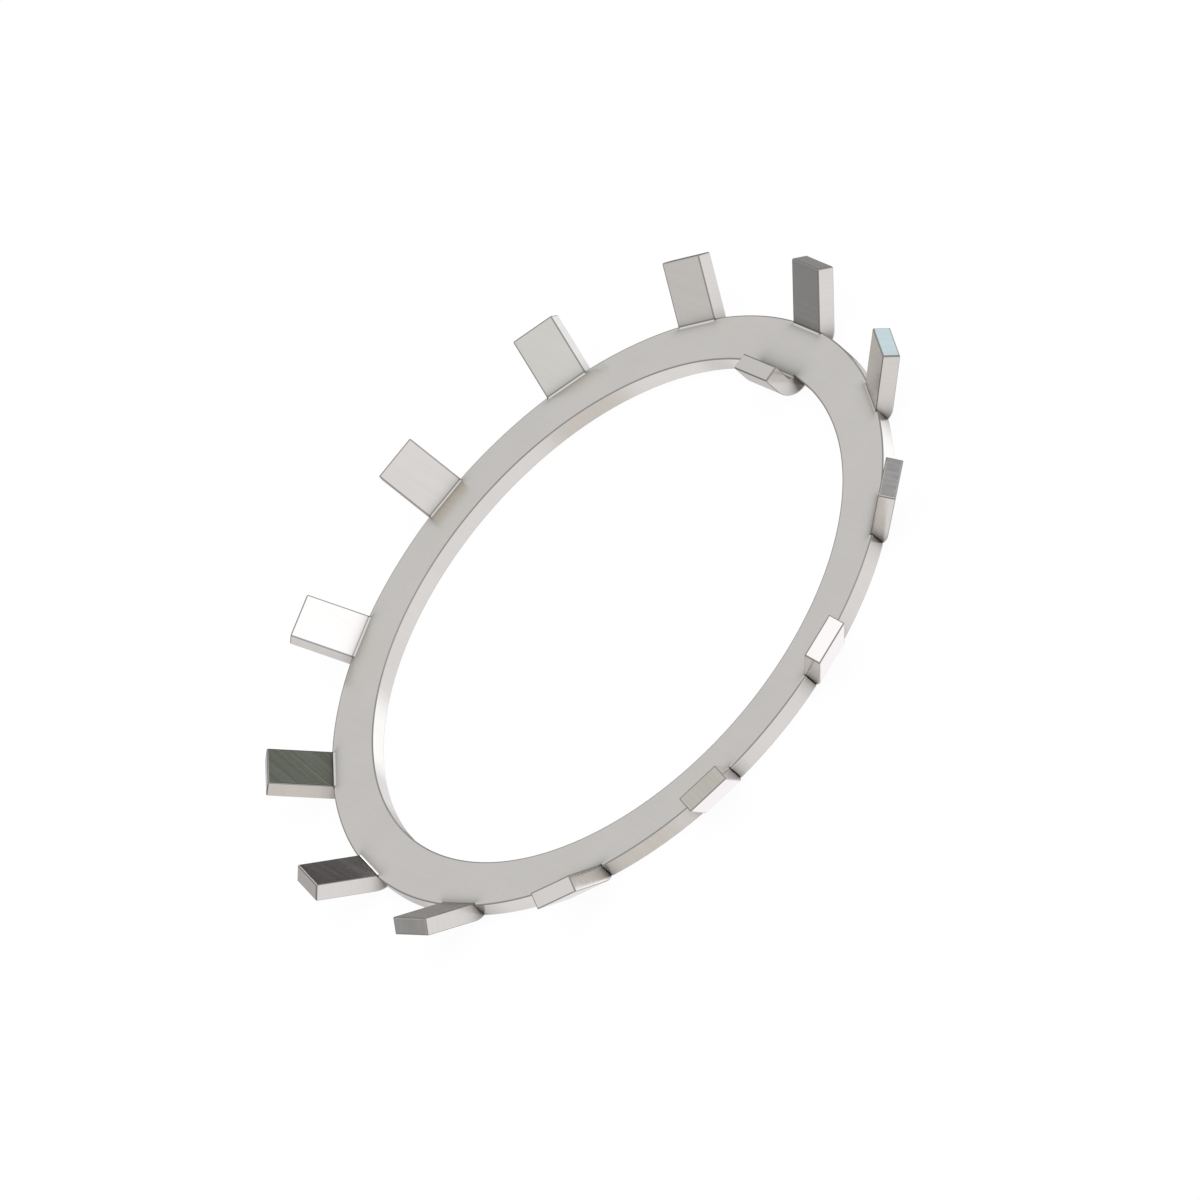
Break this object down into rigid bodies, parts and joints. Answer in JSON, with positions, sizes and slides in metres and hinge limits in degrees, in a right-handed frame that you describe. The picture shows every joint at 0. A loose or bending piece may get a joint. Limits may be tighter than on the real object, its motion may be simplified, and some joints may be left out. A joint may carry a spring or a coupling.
{
  "type": "tab lock washer",
  "caption": "Flat sheet-steel ring with locking tabs folded up round its rim and a key tab folded up at its bore; it locks a slotted nut to a grooved shaft.",
  "frame": {"origin": "centre of the bore on the flat back face, the face that it rests on", "axes": "+Z along the bore's axis, to the side that the tabs are folded to; +Y through the key tab and the locking tab in line with it"},
  "size_m": [0.0546, 0.0542, 0.0043],
  "materials": {
    "sheet_steel": "satin"
  },
  "bodies": {
    "root": {"tab_lock_washer": "sheet_steel"}
  },
  "joints": []
}
